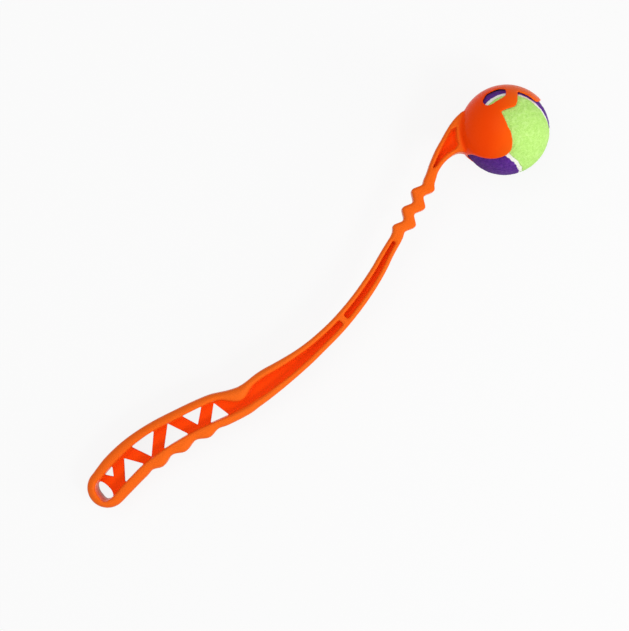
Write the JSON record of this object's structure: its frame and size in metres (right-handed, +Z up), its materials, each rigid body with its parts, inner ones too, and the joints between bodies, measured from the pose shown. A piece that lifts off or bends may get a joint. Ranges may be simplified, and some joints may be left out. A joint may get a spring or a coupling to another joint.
{
  "type": "dog ball thrower",
  "caption": "Long-handled dog ball thrower with a trussed grip, bowed shaft, flexible zigzag neck and a petalled cup holding a felt ball.",
  "frame": {"origin": "centre of the bounding box's underside, on the surface the thrower lies on", "axes": "+X from the butt towards the cup, +Y away from the cup's mouth, +Z up; the thrower lies on its side"},
  "size_m": [0.4484, 0.067, 0.0683],
  "materials": {
    "handle_orange": "satin moulded polypropylene",
    "neck_orange": "satin moulded polypropylene",
    "cup_orange": "satin moulded polypropylene",
    "core_rubber": "plain moulded rubber",
    "felt_lime": "brushed felt",
    "felt_purple": "brushed felt",
    "seam_pale": "matt rubber cement"
  },
  "bodies": {
    "handle": {"handle_and_shaft": "handle_orange", "zigzag_neck": "neck_orange"},
    "head": {"ball_cup": "cup_orange"},
    "ball": {"ball_core_upper": "core_rubber", "ball_core_lower": "core_rubber", "felt_panel_lime": "felt_lime", "felt_panel_purple": "felt_purple", "seam_cement": "seam_pale"}
  },
  "joints": [
    {"name": "neck_flex", "type": "hinge", "parent": "handle", "child": "head", "pos_m": [0.09985, 0.00217, 0.02905], "axis": [-0.0593, 0, 0.9982], "range_deg": [-8, 8], "stiffness_Nm_per_rad": 8, "deforming": ["zigzag_neck"]},
    {"name": "ball_release", "type": "slide", "parent": "head", "child": "ball", "axis": [0.087, -0.9962, 0.0052], "range_m": [0, 0.06]}
  ]
}
